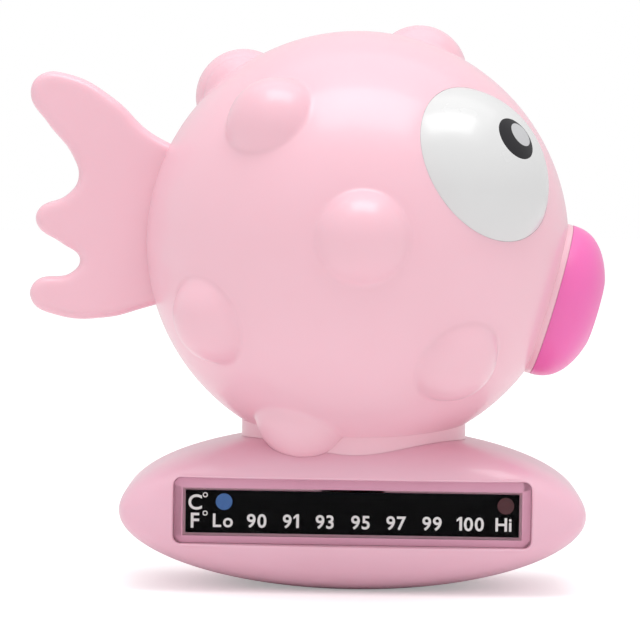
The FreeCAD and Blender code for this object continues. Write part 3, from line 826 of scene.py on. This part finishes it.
lettering = {"capHeight": 2.8, "letterWidth": 1.0, "weight": 0.075,
             "gap": 0.38, "barWide": 0.2, "flagWide": 0.2, "lift": 0.01, "thick": 0.02,
             "numberDrop": 1.7, "unitPlace": -32.1, "degreePlace": -30.05, "degreeRadius": 0.52,
             "degreeLine": 0.2, "degreeRise": 1.4, "unitSize": 1.12, "fontCap": 0.73,
             "fahrenheitDrop": 1.75, "celsiusRise": 2.0,
             "marks": [("Lo", -26.4), ("90", -19.5), ("91", -12.5), ("93", -5.6), ("95", 1.7),
                       ("97", 9.0), ("99", 16.3), ("100", 24.1), ("Hi", 30.9)]}


def glyph(sign, capHeight):
    # one flat sign standing on z = 0 with its left side at x = 0; the 1 gets a flag of its own
    if sign == "1":
        bar = lettering["barWide"]
        flag = lettering["flagWide"]
        ring = [(flag + bar, 0), (flag + bar, 1), (flag + 0.1 * bar, 1), (0, 0.8), (0, 0.64),
                (flag, 0.78), (flag, 0)]
        ring = [(x * capHeight, lettering["thick"] / 2, z * capHeight) for x, z in ring]
        made = prism("glyph", ring, (0, -lettering["thick"], 0))
        mesh = made.data
        bpy.data.objects.remove(made)
        return mesh
    line = bpy.data.curves.new("glyph", "FONT")
    line.body = sign
    line.size = capHeight / lettering["fontCap"]
    line.offset = lettering["weight"]
    line.extrude = lettering["thick"] / 2
    holder = bpy.data.objects.new("glyph", line)
    scene.collection.objects.link(holder)
    bpy.context.view_layer.update()
    mesh = bpy.data.meshes.new_from_object(
        holder.evaluated_get(bpy.context.evaluated_depsgraph_get()))
    bpy.data.objects.remove(holder)
    mesh.transform(Matrix.Rotation(math.pi / 2, 4, "X"))
    left = min(v.co.x for v in mesh.vertices)
    mesh.transform(Matrix.Diagonal((lettering["letterWidth"], 1, 1, 1))
                   @ Matrix.Translation((-left, 0, 0)))
    return mesh


def setLine(work, text, x, z, capHeight, face):
    signs = [glyph(sign, capHeight) for sign in text]
    widths = [max(v.co.x for v in mesh.vertices) for mesh in signs]
    start = x - (sum(widths) + lettering["gap"] * (len(text) - 1)) / 2
    for mesh, width in zip(signs, widths):
        mesh.transform(Matrix.Translation((start, face - lettering["lift"] - lettering["thick"] / 2,
                                           z - capHeight / 2)))
        work.from_mesh(mesh)
        bpy.data.meshes.remove(mesh)
        start += width + lettering["gap"]


def makePrint():
    low, high = [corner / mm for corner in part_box("strip_film")]
    face = low.y
    middle = (low.z + high.z) / 2
    work = bmesh.new()
    unit = lettering["unitPlace"]
    marks = [(text, x, middle - lettering["numberDrop"], lettering["capHeight"])
             for text, x in lettering["marks"]]
    unitHeight = lettering["capHeight"] * lettering["unitSize"]
    marks += [("C", unit, middle + lettering["celsiusRise"], unitHeight),
              ("F", unit, middle - lettering["fahrenheitDrop"], unitHeight)]
    for text, x, z, tall in marks:
        setLine(work, text, x, z, tall, face)
    mesh = bpy.data.meshes.new("scalePrint")
    work.to_mesh(mesh)
    work.free()
    made = bpy.data.objects.new("scalePrint", mesh)
    scene.collection.objects.link(made)
    steps = 40
    rise = lettering["degreeRise"]
    for z in (middle + lettering["celsiusRise"] + rise,
              middle - lettering["fahrenheitDrop"] + rise):
        ring = []
        for radius in (lettering["degreeRadius"],
                       lettering["degreeRadius"] - lettering["degreeLine"]):
            for y in (face - lettering["lift"], face - lettering["lift"] - lettering["thick"]):
                ring += [(lettering["degreePlace"] + radius * math.cos(2 * math.pi * i / steps), y,
                          z + radius * math.sin(2 * math.pi * i / steps)) for i in range(steps)]
        faces = []
        for a, b in ((0, 1), (1, 3), (3, 2), (2, 0)):
            faces += [(a * steps + i, a * steps + (i + 1) % steps, b * steps + (i + 1) % steps,
                       b * steps + i) for i in range(steps)]
        degree = meshObject("degree", ring, faces)
        work = bmesh.new()
        work.from_mesh(made.data)
        work.from_mesh(degree.data)
        work.to_mesh(made.data)
        work.free()
        bpy.data.objects.remove(degree)
    turnOut(made, 0.002)
    finishPiece(made, "light_grey_print", [], ink)


makeBody()
print("body done")
makeEyes()
print("eyes done")
finishPiece(mouthShape(), "mouth_magenta", ["mouth"])
makePod()
print("pod done")
makePrint()
print("print done")

slots = {part["node"]: part["material_slot"] for part in frame["record"]["subparts"]}
for node, thing in frame["nodes"].items():
    if not thing.hide_render:
        thing.data.materials.clear()
        thing.data.materials.append(looks[slots[node]])
print("CAD pieces dressed")


stage = {"floorSize": 6.0, "worldLight": 0.77, "lampHeight": 0.6, "lampWide": 0.47,
         "lampDeep": 0.30, "lampForward": 0.15, "lampRight": 0.03, "lampPower": 1.4,
         "skyHeight": 0.95, "skySize": 1.3, "skyPower": 3.0, "floorGlow": 0.32}
view = {"distance": 700.0, "rise": 1.5, "roll": 0.86, "across": 133.7, "aimRight": -7.57,
        "aimUp": -16.33, "sensor": 36.0}


def hangLamp(name, wide, deep, power, place):
    lamp = bpy.data.lights.new(name, "AREA")
    lamp.shape = "RECTANGLE"
    lamp.size = wide
    lamp.size_y = deep
    lamp.energy = power
    hung = bpy.data.objects.new(name, lamp)
    hung.location = ballCentre * mm + place
    scene.collection.objects.link(hung)


def makeStage():
    half = stage["floorSize"] / 2
    mesh = bpy.data.meshes.new("floor")
    mesh.from_pydata([(-half, -half, 0), (half, -half, 0), (half, half, 0), (-half, half, 0)], [],
                     [(0, 1, 2, 3)])
    floor = bpy.data.objects.new("floor", mesh)
    scene.collection.objects.link(floor)
    paint = surface("paleFloor", (0.93, 0.93, 0.93), (0.915, 0.915, 0.915), rough=0.7,
                    driftScale=3.0, bump=0.02, shader={"Emission Color": (1, 1, 1, 1)})
    glow = addNode(paint.node_tree, "ShaderNodeMath", operation="MULTIPLY")
    glow.inputs[1].default_value = stage["floorGlow"]
    paint.node_tree.links.new(addNode(paint.node_tree, "ShaderNodeLightPath").outputs[0],
                              glow.inputs[0])
    paint.node_tree.links.new(
        glow.outputs[0], paint.node_tree.nodes["Principled BSDF"].inputs["Emission Strength"])
    floor.data.materials.append(paint)

    world = bpy.data.worlds.new("studio")
    scene.world = world
    world.use_nodes = True
    tree = world.node_tree
    back = tree.nodes["Background"]
    back.inputs["Color"].default_value = (1, 1, 1, 1)
    seen = addNode(tree, "ShaderNodeLightPath")
    strength = addNode(tree, "ShaderNodeMapRange")
    strength.inputs["To Min"].default_value = stage["worldLight"]
    strength.inputs["To Max"].default_value = 1.0
    tree.links.new(seen.outputs["Is Camera Ray"], strength.inputs["Value"])
    tree.links.new(strength.outputs["Result"], back.inputs["Strength"])

    softbox = Vector((stage["lampRight"], -stage["lampForward"], stage["lampHeight"]))
    hangLamp("softbox", stage["lampWide"], stage["lampDeep"], stage["lampPower"], softbox)
    hangLamp("skyPanel", stage["skySize"], stage["skySize"], stage["skyPower"],
             Vector((0, 0, stage["skyHeight"])))


def makeCamera():
    rise = math.radians(view["rise"])
    up = Vector((0, math.sin(rise), math.cos(rise)))
    toward = Vector((0, -math.cos(rise), math.sin(rise)))
    spot = (ballCentre + toward * view["distance"]) * mm
    aim = (ballCentre + Vector((view["aimRight"], 0, 0)) + up * view["aimUp"]) * mm
    data = bpy.data.cameras.new("camera")
    data.sensor_width = view["sensor"]
    data.lens = view["sensor"] * view["distance"] / view["across"]
    data.clip_start = 0.05
    data.clip_end = 50
    camera = bpy.data.objects.new("camera", data)
    camera.rotation_mode = "QUATERNION"
    camera.location = spot
    look = (aim - spot).to_track_quat("-Z", "Y")
    camera.rotation_quaternion = look @ Quaternion((0, 0, 1), math.radians(view["roll"]))
    scene.collection.objects.link(camera)
    scene.camera = camera


makeStage()
makeCamera()
scene.view_settings.view_transform = "Standard"
print("stage done")

for material in list(bpy.data.materials):
    if material.users == 0:
        bpy.data.materials.remove(material)
